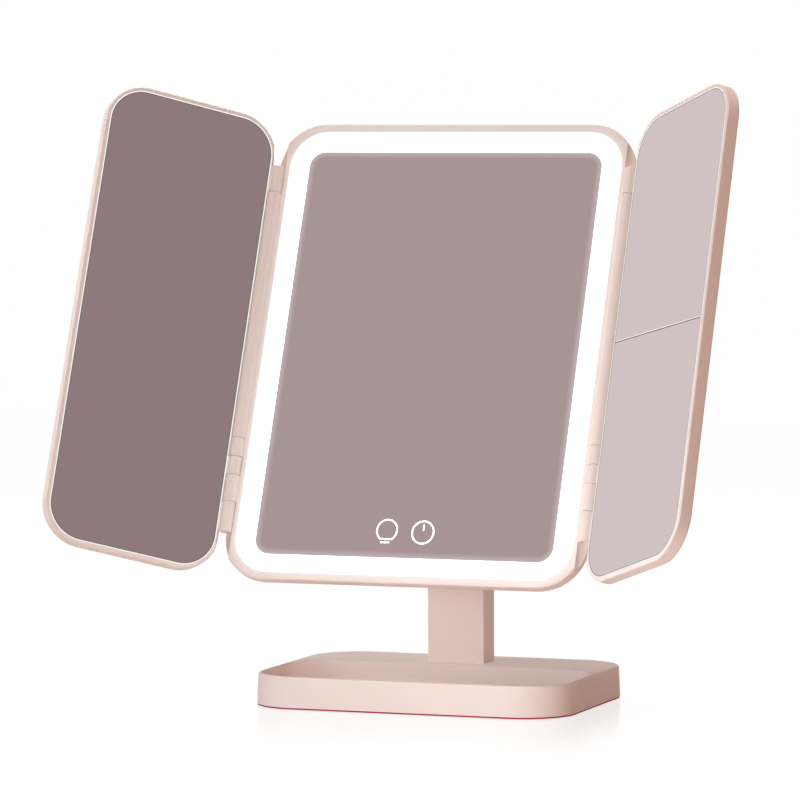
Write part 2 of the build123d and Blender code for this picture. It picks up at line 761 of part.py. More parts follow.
def make_wing_frame():
    """Rim with the ledge that the glass rests on and three knuckles along one edge."""
    width = wing_reach - wing_inner
    frame = slab(width, wing_height, wing_corner, wing_back, wing_front, wing_middle)
    frame = fillet(frame.edges().group_by(Axis.Z)[0], wing_round)
    frame = fillet(frame.edges().group_by(Axis.Z)[-1], wing_rim_round)
    frame -= slab(glass_width + 2 * glass_gap, wing_glass_height + 2 * glass_gap,
                  wing_glass_corner + glass_gap, pad_back, wing_front + 1, glass_middle)
    frame -= slab(glass_width - 2 * wing_window_inset, wing_glass_height - 2 * wing_window_inset,
                  wing_glass_corner - 8, wing_back, pad_back + 1, glass_middle)
    frame -= slab(width - 2 * wing_cover_wall, wing_height - 2 * wing_cover_wall,
                  wing_corner - wing_cover_wall, wing_back - 1, cover_front, wing_middle)
    for cut in hinge_cuts("centre", True) + hinge_cuts("sleeve", False):
        frame -= cut
    for low, high in knuckles_of("wing"):
        frame += knuckle(low, high)
    bottom = knuckle_seams[-1]
    frame -= rod_y(pin_radius + pin_clearance, bottom - 1, pin_upper_high + 0.1)
    return frame - rod_y(pin_mouth_radius, bottom - 1, bottom + knuckle_gap / 2 + pin_mouth_depth)


def make_wing_back_cover():
    inset = wing_cover_wall + wing_cover_gap
    return slab(wing_reach - wing_inner - 2 * inset, wing_height - 2 * inset, wing_corner - inset,
                wing_back, cover_front, wing_middle)


def wing_sheet(low, high, inset):
    """Flat sheet with the outline of the wing's glass."""
    return slab(glass_width - 2 * inset, wing_glass_height - 2 * inset, wing_glass_corner - inset,
                low, high, glass_middle)


def make_wing_pad():
    return wing_sheet(pad_back, glass_back, 1.0)


def make_wing_mirror():
    return wing_sheet(glass_back, wing_face, 0)


def make_magnifying_mirror(low, high, curve):
    """Half of the wing's glass with a shallow dished face."""
    half_width = glass_width / 2
    half_height = (high - low) / 2
    dish = hypot(half_width, half_height) ** 2 / (2 * curve)
    centre = (glass_middle, (low + high) / 2, wing_face - dish + curve)
    pane = make_wing_mirror() & block(0, wing_reach, low, high, glass_back, wing_face)
    ball = Pos(*centre) * Rot(90, 0, 0) * Sphere(curve)
    keep = block(0, wing_reach, low - 1, high + 1, glass_back - 1, wing_face + 1) & ball
    return pane - keep


def wing_pad_halves():
    pad = make_wing_pad()
    upper = pad & block(0, wing_reach, split_rise + split_gap, wing_height, pad_back, glass_back)
    lower = pad & block(0, wing_reach, -wing_height, split_rise - split_gap, pad_back, glass_back)
    return group([upper, lower])


def on_right(shape):
    return panel_place * Pos(hinge_half_spacing, 0, hinge_lift) * Rot(0, -right_wing_angle, 0) * shape


def on_left(shape):
    place = panel_place * Pos(-hinge_half_spacing, 0, hinge_lift) * Rot(0, left_wing_angle, 0)
    return place * mirror(shape, Plane.YZ)


def on_panel(shape):
    return panel_place * shape


def make_all():
    glass_top = wing_glass_height / 2
    wing_frame = make_wing_frame()
    wing_cover_plate = make_wing_back_cover()
    nodes = {
        "base_tray": make_base_tray(),
        "base_bottom_cover": make_base_bottom_cover(),
        "anti_slip_mat": make_anti_slip_mat(),
        "ballast_blocks": make_ballast_blocks(),
        "base_screws": make_base_screws(),
        "post_spine": make_post_spine(),
        "post_foot_screws": make_post_foot_screws(),
        "post_front_shell": make_post_front_shell(),
        "post_rear_cover": make_post_rear_cover(),
        "post_cover_screws": make_post_cover_screws(),
        "tilt_head": make_tilt_head(),
        "tilt_head_screws": make_tilt_head_screws(),
        "tilt_bush": make_tilt_bush(),
    }
    on_the_panel = {
        "hinge_bracket": make_hinge_bracket(),
        "bracket_screws": make_bracket_screws(),
        "tilt_shaft": make_tilt_shaft(),
        "tilt_disc_springs": make_tilt_disc_springs(),
        "tilt_nut": make_tilt_nut(),
        "rear_housing": make_rear_housing(),
        "service_cover": make_service_cover(),
        "service_cover_screws": make_service_cover_screws(),
        "battery_pack": make_battery_pack(),
        "control_board": make_control_board(),
        "charging_socket": make_charging_socket(),
        "centre_frame": make_centre_frame(),
        "hinge_friction_sleeves": make_hinge_friction_sleeves(),
        "hinge_pins_upper": make_hinge_pins(pin_upper_low, pin_upper_high),
        "hinge_pins_lower": make_hinge_pins(pin_lower_low, pin_lower_high),
        "light_ring": make_light_ring(),
        "centre_mirror": make_centre_mirror(),
        "light_shield": make_light_shield(),
        "touch_board": make_touch_board(),
        "led_board": make_led_board(),
        "ring_leds": make_ring_leds(),
    }
    nodes.update({name: on_panel(shape) for name, shape in on_the_panel.items()})
    nodes["left_wing_frame"] = on_left(wing_frame)
    nodes["left_wing_back_cover"] = on_left(wing_cover_plate)
    nodes["left_wing_pad"] = on_left(make_wing_pad())
    nodes["left_wing_mirror"] = on_left(make_wing_mirror())
    nodes["right_wing_frame"] = on_right(wing_frame)
    nodes["right_wing_back_cover"] = on_right(wing_cover_plate)
    nodes["right_wing_pads"] = on_right(wing_pad_halves())
    nodes["right_upper_mirror"] = on_right(
        make_magnifying_mirror(split_rise + split_gap / 2, glass_top, upper_curve))
    nodes["right_lower_mirror"] = on_right(
        make_magnifying_mirror(-glass_top, split_rise - split_gap / 2, lower_curve))
    return nodes


os.makedirs("parts", exist_ok=True)
for node_name, node_shape in make_all().items():
    export_step(node_shape, f"parts/{node_name}.step")
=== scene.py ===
"""Lighted makeup mirror that opens in three, on a pale table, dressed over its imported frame."""
import json
import math

import bmesh
import bpy
import numpy as np
from mathutils import Matrix, Quaternion, Vector


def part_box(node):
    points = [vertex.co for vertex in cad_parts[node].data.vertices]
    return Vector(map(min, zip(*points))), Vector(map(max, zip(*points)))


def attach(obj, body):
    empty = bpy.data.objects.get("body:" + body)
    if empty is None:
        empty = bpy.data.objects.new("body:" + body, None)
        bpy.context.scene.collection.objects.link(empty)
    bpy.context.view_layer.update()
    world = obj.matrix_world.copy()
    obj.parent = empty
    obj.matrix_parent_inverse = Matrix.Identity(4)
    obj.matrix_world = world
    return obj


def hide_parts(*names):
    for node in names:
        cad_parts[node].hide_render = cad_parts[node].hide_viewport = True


MM = 0.001
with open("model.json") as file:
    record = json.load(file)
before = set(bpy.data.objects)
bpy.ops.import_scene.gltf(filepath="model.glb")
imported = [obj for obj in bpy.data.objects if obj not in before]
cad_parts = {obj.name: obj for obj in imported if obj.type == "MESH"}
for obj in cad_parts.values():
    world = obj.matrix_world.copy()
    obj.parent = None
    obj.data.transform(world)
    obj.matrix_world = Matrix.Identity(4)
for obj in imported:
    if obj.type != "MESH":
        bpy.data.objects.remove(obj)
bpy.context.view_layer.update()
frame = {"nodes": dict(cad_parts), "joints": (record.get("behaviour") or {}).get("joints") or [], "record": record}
nodes = frame["nodes"]
joints = {joint["name"]: joint for joint in frame["joints"]}

# Sizes that the part's source also has
MIRROR_WIDTH = 160.5 * MM
MIRROR_HEIGHT = 219.8 * MM
MIRROR_CORNER = 8.0 * MM
MIRROR_RISE = -0.7 * MM
BORDER_WIDTH = 182.2 * MM
BORDER_HEIGHT = 240.6 * MM
BORDER_CORNER = 19.0 * MM
HINGE_HEIGHT = 37.7 * MM        # the tilt axis above the panel's middle
POD_BACK = -15.4 * MM
POST_BACK = 41.5 * MM
SERVICE_SCREWS_X = 48.5 * MM
SERVICE_SCREWS_Y = (12.5 * MM, -50.5 * MM)
BRACKET_SCREWS_X = 22.5 * MM
BRACKET_SCREWS_Y = 12.5 * MM    # above and below the tilt axis
POST_SCREWS_Z = (34.5 * MM, 151.1 * MM)
SCREW_HEAD = 2.4 * MM           # radius
SCREW_SHANK = 1.2 * MM          # radius
WING_GLASS_WIDTH = 89.8 * MM
WING_GLASS_HEIGHT = 244.1 * MM
WING_GLASS_CORNER = 18.5 * MM
WING_GLASS_MIDDLE = 49.35 * MM  # from the wing's pins
WING_GLASS_FACE = -0.25 * MM
WING_GLASS_BACK = -2.25 * MM
WING_RIM_FACE = -0.2 * MM
UPPER_DISH = 0.34 * MM          # depth of a magnifying mirror's hollow face
LOWER_DISH = 0.42 * MM
MAT_CORNER = 26.1 * MM
MAT_PROUD = 0.6 * MM            # the mat's soft edge bulges out past its solid, under the skirt

# The seam between the two magnifying mirrors slopes a little down towards the outer edge.
SEAM_RISE = 0.8 * MM
SEAM_SLOPE = -0.084
SEAM_GAP = 0.5 * MM

# The panel's own axes: X right, Y up the panel, Z out of the mirror, zero on the mirror's face.
HINGE_LIFT = 1.6 * MM
LEFT_WING_ANGLE = math.radians(41.4)
RIGHT_WING_ANGLE = math.radians(44.2)
panel_up = Vector(joints["left_wing_fold"]["axis"]).normalized()
panel_right = Vector((1, 0, 0))
panel_out = panel_right.cross(panel_up)
left_pin = Vector(joints["left_wing_fold"]["pos_m"])
right_pin = Vector(joints["right_wing_fold"]["pos_m"])
panel_centre = (left_pin + right_pin) / 2 - panel_out * HINGE_LIFT


def place(right, up, out, origin):
    """Matrix that carries a piece from its own axes into the shared frame."""
    turn = Matrix((right, up, out)).transposed().to_4x4()
    return Matrix.Translation(origin) @ turn


ON_PANEL = place(panel_right, panel_up, panel_out, panel_centre)
ON_RIGHT_WING = place(panel_right, panel_up, panel_out, right_pin) @ Matrix.Rotation(
    -RIGHT_WING_ANGLE, 4, "Y")
ON_LEFT_WING = place(panel_right, panel_up, panel_out, left_pin) @ Matrix.Rotation(
    LEFT_WING_ANGLE, 4, "Y")


# Materials

def linear(colour):
    """Turns an sRGB hex colour into Blender's linear red, green, blue and alpha."""
    shares = [int(colour[i:i + 2], 16) / 255 for i in (1, 3, 5)]
    return [c / 12.92 if c <= 0.04045 else ((c + 0.055) / 1.055) ** 2.4 for c in shares] + [1]


def add(tree, kind, inputs=None, **settings):
    """Adds a node with its settings, and fills or links its inputs."""
    made = tree.nodes.new("ShaderNode" + kind)
    for name, value in settings.items():
        setattr(made, name, value)
    for socket, value in (inputs or {}).items():
        if isinstance(value, bpy.types.NodeSocket):
            tree.links.new(value, made.inputs[socket])
        else:
            made.inputs[socket].default_value = value
    return made


def new_material(name):
    """An empty material with its output, its shader and Object coordinates."""
    material = bpy.data.materials.new(name)
    material.use_nodes = True
    tree = material.node_tree
    tree.nodes.clear()
    shader = add(tree, "BsdfPrincipled")
    add(tree, "OutputMaterial", {"Surface": shader.outputs[0]})
    where = add(tree, "TexCoord").outputs["Object"]
    return material, tree, shader, where


FLOW_MARKS = 45 * MM
GLASS_WAVES = 60 * MM
PLASTIC_SWING = 0.04            # either way in roughness
METAL_SWING = 0.08


def moulded_plastic(name, colour, deep, roughness, grain_mm, relief_mm, ior=1.54, shine_level=0.5):
    """Moulded plastic: flow marks a few centimetres long, and the mould's fine grain as bump."""
    material, tree, shader, where = new_material(name)
    shader.inputs["Specular IOR Level"].default_value = shine_level
    flow = add(tree, "TexNoise", {"Vector": where, "Scale": 1 / FLOW_MARKS, "Detail": 2.0})
    tone = add(tree, "MixRGB", {"Fac": flow.outputs[0], "Color1": linear(deep), "Color2": linear(colour)})
    tree.links.new(tone.outputs[0], shader.inputs["Base Color"])
    grain = add(tree, "TexNoise", {"Vector": where, "Scale": 1 / (grain_mm * MM), "Detail": 3.0})
    bump = add(tree, "Bump", {"Height": grain.outputs[0], "Distance": relief_mm * MM, "Strength": 0.6})
    tree.links.new(bump.outputs[0], shader.inputs["Normal"])
    shine = add(tree, "MapRange", {"Value": grain.outputs[0], "To Min": roughness - PLASTIC_SWING,
                                   "To Max": roughness + PLASTIC_SWING})
    tree.links.new(shine.outputs[0], shader.inputs["Roughness"])
    shader.inputs["IOR"].default_value = ior
    return material


def silvered_glass(name, colour):
    """Float glass silvered on its back: a flat mirror, with a trace of waviness."""
    material, tree, shader, where = new_material(name)
    shader.inputs["Base Color"].default_value = linear(colour)
    shader.inputs["Metallic"].default_value = 1.0
    shader.inputs["Roughness"].default_value = 0.03
    wave = add(tree, "TexNoise", {"Vector": where, "Scale": 1 / GLASS_WAVES})
    bump = add(tree, "Bump", {"Height": wave.outputs[0], "Distance": 0.01 * MM, "Strength": 0.2})
    tree.links.new(bump.outputs[0], shader.inputs["Normal"])
    return material


def depth_inside(tree, where, width, height, corner, rise):
    """Distance in from the edge of a rounded rectangle on the panel, negative outside it.

    Past the corner circles' middles it is the corner radius less the distance from that middle.
    """
    middle = panel_centre + panel_up * rise
    local = add(tree, "Mapping", {"Vector": where, "Location": middle, "Rotation": ON_PANEL.to_euler()},
                vector_type="TEXTURE")
    folded = add(tree, "VectorMath", {0: local.outputs[0]}, operation="ABSOLUTE")
    straight = (width / 2 - corner, height / 2 - corner, 1)
    past = add(tree, "VectorMath", {0: folded.outputs[0], 1: straight}, operation="SUBTRACT")
    clipped = add(tree, "VectorMath", {0: past.outputs[0], 1: (0, 0, 0)}, operation="MAXIMUM")
    reach = add(tree, "VectorMath", {0: clipped.outputs[0]}, operation="LENGTH").outputs["Value"]
    parts = add(tree, "SeparateXYZ", {0: past.outputs[0]})
    wider = add(tree, "Math", {0: parts.outputs[0], 1: parts.outputs[1]}, operation="MAXIMUM")
    inner = add(tree, "Math", {0: wider.outputs[0], 1: 0.0}, operation="MINIMUM")
    total = add(tree, "Math", {0: reach, 1: inner.outputs[0]}, operation="ADD")
    return add(tree, "Math", {0: corner, 1: total.outputs[0]}, operation="SUBTRACT").outputs[0]


def paint_border_glow(material, outline, gone, full, strength, colour):
    """Paints onto a material, as emission, a glow that stands in for the light it takes in from the lit border
    round the centre mirror.

    The outline is a rounded rectangle on the panel, and the light fades evenly from full to
    gone, which are both depths inside it.
    """
    tree = material.node_tree
    shader = tree.nodes["Principled BSDF"]
    where = add(tree, "TexCoord").outputs["Object"]
    depth = depth_inside(tree, where, *outline)
    glow = add(tree, "MapRange", {"Value": depth, "From Min": gone, "From Max": full,
                                  "To Min": 0.0, "To Max": strength})
    shader.inputs["Emission Color"].default_value = (*colour, 1)
    tree.links.new(glow.outputs[0], shader.inputs["Emission Strength"])


def glowing(name, colour, strength):
    """Plastic or lacquer that gives off light of its own colour."""
    material, _, shader, _ = new_material(name)
    shader.inputs["Base Color"].default_value = linear(colour)
    shader.inputs["Emission Color"].default_value = linear(colour)
    shader.inputs["Emission Strength"].default_value = strength
    shader.inputs["Roughness"].default_value = 0.4
    return material


def metal(name, colour, roughness, grain_mm):
    """Metal with a fine directionless grain in its roughness."""
    material, tree, shader, where = new_material(name)
    shader.inputs["Base Color"].default_value = linear(colour)
    shader.inputs["Metallic"].default_value = 1.0
    grain = add(tree, "TexNoise", {"Vector": where, "Scale": 1 / (grain_mm * MM), "Detail": 4.0})
    shine = add(tree, "MapRange", {"Value": grain.outputs[0], "To Min": roughness - METAL_SWING,
                                   "To Max": roughness + METAL_SWING})
    tree.links.new(shine.outputs[0], shader.inputs["Roughness"])
    return material


# ABS moulded in a finely spark-eroded mould: an even pale rose, satin, with no sharp highlight.
rose_abs = moulded_plastic("moulded_rose_abs", "#ecd9d1", "#e9d6ce", 0.42, 0.5, 0.008,
                           shine_level=0.2)
# The same ABS round the lit border, with painted light: a faint cool emission, full inside the border's outline
# and fading out 4 mm past it, stands in for the border's light on it.
rose_abs_painted_glow = moulded_plastic("moulded_rose_abs_by_the_light", "#ecd9d1", "#e9d6ce", 0.42, 0.5, 0.008,
                          shine_level=0.2)
paint_border_glow(rose_abs_painted_glow, (BORDER_WIDTH, BORDER_HEIGHT, BORDER_CORNER, 0), -4.0 * MM, 0.0, 0.13,
             (0.45, 0.85, 1.0))
# Foam rubber sheet, die cut: matt crimson with small open pores.
red_foam = moulded_plastic("dark_red_foam_rubber", "#b5243f", "#9f1c35", 0.85, 0.6, 0.05, 1.5)
# ABS filled with carbon black, moulded: dull and opaque, so that it stops the light.
black_abs = moulded_plastic("moulded_black_abs", "#202022", "#1a1a1c", 0.5, 0.5, 0.01)
# Acetal moulded without pigment: waxy off-white.
acetal = moulded_plastic("natural_acetal", "#ebe6da", "#e4decf", 0.4, 0.8, 0.005, 1.48)
# Solder mask on glass-fibre board: smooth and slightly glossy.
board_green = moulded_plastic("green_solder_mask", "#1d5a33", "#17492a", 0.35, 0.8, 0.004)
board_white = moulded_plastic("white_solder_mask", "#f0f0ec", "#e6e6e0", 0.4, 0.8, 0.004)
# Closed-cell foam tape, cut from a sheet: matt dark grey.
foam_tape = moulded_plastic("grey_foam_tape", "#55555a", "#48484c", 0.9, 0.5, 0.03)
# Printed film shrunk round the cell: smooth blue-grey.
cell_film = moulded_plastic("blue_grey_cell_film", "#5a6a80", "#4c5a6e", 0.3, 2.0, 0.01)
# Steel with a passivated zinc coat: bright, with a slightly milky shine.
zinc_steel = metal("zinc_plated_steel", "#c9c9cc", 0.32, 0.6)
# Iron as it comes from the sand mould: dark and dull.
cast_iron = metal("cast_iron", "#5a5a5c", 0.62, 1.2)
# Folded steel sheet, lacquered to match the plastic: smoother and a little glossier.
lacquer_steel = moulded_plastic("rose_lacquered_steel", "#e6d2c9", "#e2cdc4", 0.3, 0.7, 0.004)
# Opal acrylic lit from inside: flat white, with no shape of the lights behind it.
opal = glowing("lit_opal_acrylic", "#ffffff", 1.0)
# Phosphor of a white LED that is on: warm white.
lit_led = glowing("lit_led", "#fff6e0", 1.0)
# Float glass silvered by spray: sharp mirrors whose base colours are painted reflections, each tinted as grey as
# the part of the room that it faces.
centre_painted_reflection_and_glow = silvered_glass("silvered_glass_centre", "#a79595")
# Painted glow along the centre mirror's edge: a faint lilac emission, fading out 3.3 mm in from the edge, stands
# in for the lit border's light in the glass.
paint_border_glow(centre_painted_reflection_and_glow, (MIRROR_WIDTH, MIRROR_HEIGHT, MIRROR_CORNER, MIRROR_RISE), 3.3 * MM, 0.0,
             0.16, (0.95, 0.90, 1.0))
left_painted_reflection = silvered_glass("silvered_glass_left", "#8e7a7b")
right_painted_reflection = silvered_glass("silvered_glass_right", "#cdbebe")
# Symbols left clear in the silvering and lit from behind: plain white.
mark_white = glowing("lit_touch_mark", "#ffffff", 1.0)
# The ground and polished edge of the wings' glass, with a painted highlight: a near-white mirror strip stands in
# for the glint it catches from the bright room.
painted_highlight_glass = silvered_glass("silvered_glass_bevel", "#fbfaf5")
# The dark edge of the glass where the silvering ends, deepened into painted shade: a thin dull dark line in the
# glass that stands in for the shadow along the glass's edge and in the seam's gap.
painted_shade_glass_line = moulded_plastic("sealed_edge_of_silvering", "#3b423e", "#2f3531", 0.6, 0.6, 0.004,
                              shine_level=0.2)

# The mirrors show only the pale studio, so what they face is kept out of reflections, and the
# table's faint reflection ends at the base.
hidden_from_mirrors = [name for name in nodes if name.startswith(("post_", "tilt_"))]
for body in ("panel", "left_wing", "right_wing"):
    hidden_from_mirrors += frame["record"]["behaviour"]["bodies"][body]
for name in hidden_from_mirrors:
    nodes[name].visible_glossy = False

finishes = {
    "anti_slip_mat": red_foam,
    "centre_frame": rose_abs_painted_glow,
    "ballast_blocks": cast_iron,
    "post_spine": lacquer_steel,
    "hinge_bracket": lacquer_steel,
    "tilt_shaft": zinc_steel,
    "tilt_disc_springs": zinc_steel,
    "tilt_nut": zinc_steel,
    "tilt_bush": acetal,
    "battery_pack": cell_film,
    "control_board": board_green,
    "touch_board": board_green,
    "led_board": board_white,
    "ring_leds": lit_led,
    "charging_socket": zinc_steel,
    "hinge_pins_upper": zinc_steel,
    "hinge_pins_lower": zinc_steel,
    "light_ring": opal,
    "light_shield": black_abs,
    "centre_mirror": centre_painted_reflection_and_glow,
    "left_wing_mirror": left_painted_reflection,
    "right_upper_mirror": right_painted_reflection,
    "right_lower_mirror": right_painted_reflection,
    "left_wing_pad": foam_tape,
    "right_wing_pads": foam_tape,
}
for name, piece in nodes.items():
    finish = finishes.get(name, zinc_steel if name.endswith("screws") else rose_abs)
    for slot in piece.material_slots:
        slot.material = finish


# Pieces that the scene adds

def surface(name, points, round_u, round_v):
    """Mesh over a grid of points, joined at its ends where asked, its poles and seams merged."""
    rows, columns = points.shape[:2]
    index = np.arange(rows * columns).reshape(rows, columns)
    if round_u:
        index = np.vstack([index, index[:1]])
    if round_v:
        index = np.hstack([index, index[:, :1]])
    quads = np.stack([index[:-1, :-1], index[1:, :-1], index[1:, 1:], index[:-1, 1:]], -1)
    mesh = bpy.data.meshes.new(name)
    mesh.from_pydata(points.reshape(-1, 3).tolist(), [], quads.reshape(-1, 4).tolist())
    tidy = bmesh.new()
    tidy.from_mesh(mesh)
    bmesh.ops.remove_doubles(tidy, verts=tidy.verts, dist=0.0005 * MM)
    bmesh.ops.recalc_face_normals(tidy, faces=tidy.faces)
    tidy.to_mesh(mesh)
    tidy.free()
    return mesh


def joined(name, meshes, material, body):
    """One object from several meshes, riding on a body."""
    whole = bmesh.new()
    for mesh in meshes:
        whole.from_mesh(mesh)
        bpy.data.meshes.remove(mesh)
    mesh = bpy.data.meshes.new(name)
    whole.to_mesh(mesh)
    whole.free()
    mesh.materials.append(material)
    piece = bpy.data.objects.new(name, mesh)
    piece.visible_glossy = False
    bpy.context.collection.objects.link(piece)
    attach(piece, body)
    return piece


def facet(piece):
    """Shades a piece flat, for edges that stay crisp."""
    for polygon in piece.data.polygons:
        polygon.use_smooth = False


def moved(points, matrix):
    """Points carried by a matrix."""
    turn = np.array(matrix)
    return points @ turn[:3, :3].T + turn[:3, 3]


def rounded_rectangle(width, height, corner, steps=10):
    """Outline as points: a quarter circle of the corner radius about each corner's middle."""
    turn = np.linspace(0, math.pi / 2, steps)[None, :] + np.arange(4)[:, None] * math.pi / 2
    side_x = np.array([1, -1, -1, 1])[:, None] * (width / 2 - corner)
    side_y = np.array([1, 1, -1, -1])[:, None] * (height / 2 - corner)
    points = np.stack([side_x + corner * np.cos(turn), side_y + corner * np.sin(turn)], -1)
    return points.reshape(-1, 2)


def stroke(name, path, width, low, high, closed, matrix):
    """Flat strip of even width along a path: each section is a rectangle across the path.

    An open strip narrows to a half circle at both ends, so its half width there is the square
    root of the half width's square less the square of the distance still to go inwards.
    """
    if closed:
        way = np.roll(path, -1, 0) - np.roll(path, 1, 0)
    else:
        way = np.gradient(path, axis=0)
    way /= np.linalg.norm(way, axis=1)[:, None]
    across = np.stack([way[:, 1], -way[:, 0]], -1)
    half = np.full(len(path), width / 2)
    if not closed:
        run = np.concatenate([[0], np.cumsum(np.linalg.norm(np.diff(path, axis=0), axis=1))])
        inward = np.clip(width / 2 - np.minimum(run, run[-1] - run), 0, width / 2)
        half = np.sqrt(np.maximum(half ** 2 - inward ** 2, 0))
    sides = np.array([1, 1, -1, -1])[None, :, None] * half[:, None, None] * across[:, None, :]
    flat = path[:, None, :] + sides
    heights = np.broadcast_to(np.array([low, high, high, low])[None, :, None], (len(path), 4, 1))
    return surface(name, moved(np.concatenate([flat, heights], -1), matrix), closed, True)


def touch_marks():
    """Lamp and power symbols lit through the mirror, each a thin closed strip on the glass.

    The lamp's glass is a circle, longer below its middle, cut by a straight neck; the power
    symbol is a circle with an upright tick.
    """
    width = 0.8 * MM
    low = -0.02 * MM
    high = 0.05 * MM
    lamp_x = -9.4 * MM
    lamp_y = -96.1 * MM
    lamp_radius = 5.4 * MM
    lamp_stretch = 1.1
    neck_half = 3.1 * MM
    bar_from = -12.3 * MM
    bar_to = -7.3 * MM
    bar_y = -102.7 * MM
    ring_x = 10.0 * MM
    ring_y = -96.9 * MM
    ring_half_width = 5.75 * MM
    ring_half_height = 5.9 * MM
    tick_x = 10.2 * MM
    tick_from = -92.6 * MM
    tick_to = -96.1 * MM

    open_by = math.asin(neck_half / lamp_radius)
    turn = np.linspace(-math.pi / 2 + open_by, 3 * math.pi / 2 - open_by, 90)
    tall = np.where(np.sin(turn) < 0, lamp_stretch, 1.0) * lamp_radius
    bulb = np.stack([lamp_x + lamp_radius * np.cos(turn), lamp_y + tall * np.sin(turn)], -1)
    share = np.linspace(0, 1, 24)[1:-1, None]
    neck = bulb[-1] * (1 - share) + bulb[0] * share
    bar = np.stack([np.linspace(bar_from, bar_to, 40), np.full(40, bar_y)], -1)
    turn = np.linspace(0, 2 * math.pi, 96, endpoint=False)
    ring = np.stack([ring_x + ring_half_width * np.cos(turn), ring_y + ring_half_height * np.sin(turn)], -1)
    tick = np.stack([np.full(40, tick_x), np.linspace(tick_from, tick_to, 40)], -1)
    lines = (("bulb", np.vstack([bulb, neck]), True), ("bar", bar, False), ("ring", ring, True),
             ("tick", tick, False))
    strips = [stroke(name, path, width, low, high, closed, ON_PANEL) for name, path, closed in lines]
    marks = joined("touch_marks", strips, mark_white, "panel")


def foam_mat():
    """The base's anti-slip mat: a rounded rectangle's outline, lifted, with a small chamfer on top."""
    low, high = (Vector(corner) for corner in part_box("anti_slip_mat"))
    wide = high.x - low.x + 2 * MAT_PROUD
    deep = high.y - low.y + 2 * MAT_PROUD
    corner = MAT_CORNER + MAT_PROUD
    chamfer = 0.1 * MM
    foot = rounded_rectangle(wide, deep, corner, 24)
    top = rounded_rectangle(wide - 2 * chamfer, deep - 2 * chamfer, corner - chamfer, 24)
    flat = np.stack([foot * 0, foot, foot, top, top * 0])
    level = np.array([low.z, low.z, high.z - chamfer, high.z, high.z])[:, None, None]
    points = np.concatenate([flat, np.broadcast_to(level, flat.shape[:2] + (1,))], -1)
    points += [(low.x + high.x) / 2, (low.y + high.y) / 2, 0]
    mat = joined("foam_mat", [surface("foam_mat", points, False, True)], red_foam, "base")
    facet(mat)
    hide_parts("anti_slip_mat")


def magnifying_pane(name, upper, dish):
    """Half of the right wing's glass, with a shallow hollow face, as one closed surface.

    The outline is two rounded corners and the sloping seam. The face is rings from the middle
    out to it, and lies below the edge by the dish times one less the square of the way out.
    """
    side = 1 if upper else -1
    steps = 24
    outline = rounded_rectangle(WING_GLASS_WIDTH, WING_GLASS_HEIGHT, WING_GLASS_CORNER, steps)
    corners = outline[:2 * steps] if upper else outline[2 * steps:]
    x = np.linspace(-side, side, 60) * WING_GLASS_WIDTH / 2
    seam = np.stack([x, SEAM_RISE + SEAM_SLOPE * x + side * SEAM_GAP / 2], -1)
    outline = np.vstack([corners, seam])
    middle = (outline.max(0) + outline.min(0)) / 2
    way = np.linspace(0, 1, 16)
    rings = middle + way[:, None, None] * (outline - middle)
    face = WING_GLASS_FACE - dish * (1 - way ** 2)
    flat = np.concatenate([rings, rings[-1:], rings[:1]])
    level = np.concatenate([face, [WING_GLASS_BACK, WING_GLASS_BACK]])
    height = np.broadcast_to(level[:, None, None], flat.shape[:2] + (1,))
    points = np.concatenate([flat, height], -1) + [WING_GLASS_MIDDLE, 0, 0]
    return surface(name, moved(points, ON_RIGHT_WING), False, True)


def magnifying_panes():
    """The right wing's two panes, each in the place of its CAD node."""
    halves = (("right_upper_mirror", True, UPPER_DISH), ("right_lower_mirror", False, LOWER_DISH))
    for name, upper, dish in halves:
        meshes = [magnifying_pane(name, upper, dish)]
        pane = joined(name.replace("mirror", "pane"), meshes, right_painted_reflection, "right_wing")
        facet(pane)
        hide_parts(name)


def glass_edges():
    """Each wing glass's polished bevel with a painted highlight, and inside it a painted shade line where the
    silvering ends.

    Both are narrow strips along the glass's outline. The seam between the magnifying mirrors has a painted shade
    line too, in its gap, with a painted highlight along the upper mirror's edge.
    """
    depth = 0.3 * MM
    seam_width = 0.45 * MM
    seam_inset = 0.5 * MM
    seam_proud = 0.02 * MM
    # The first, bright strip is a painted highlight; the second, dark strip is painted shade.
    kinds = (("bevel", 0.0, 0.6 * MM, 0.03 * MM, painted_highlight_glass, 0.45 * MM),
             ("sealed_edge", 0.45 * MM, 0.3 * MM, -0.02 * MM, painted_shade_glass_line, 0.0))
    low = WING_GLASS_FACE - depth
    for body, matrix, side in (("left_wing", ON_LEFT_WING, -1), ("right_wing", ON_RIGHT_WING, 1)):
        at_glass = matrix @ Matrix.Translation((side * WING_GLASS_MIDDLE, 0, 0))
        for kind, inset, width, lift, material, seam_lift in kinds:
            name = body + "_glass_" + kind
            outline = rounded_rectangle(WING_GLASS_WIDTH - 2 * inset, WING_GLASS_HEIGHT - 2 * inset,
                                        WING_GLASS_CORNER - inset, 40)
            strips = [stroke(name, outline, width, low, WING_RIM_FACE + lift, True, at_glass)]
            if body == "right_wing":
                x = np.linspace(-1, 1, 60) * (WING_GLASS_WIDTH / 2 - seam_inset)
                seam = np.stack([x, SEAM_RISE + seam_lift + SEAM_SLOPE * x], -1)
                strips.append(stroke(name, seam, seam_width, low, WING_GLASS_FACE + seam_proud, False,
                                     at_glass))
            joined(name, strips, material, body)


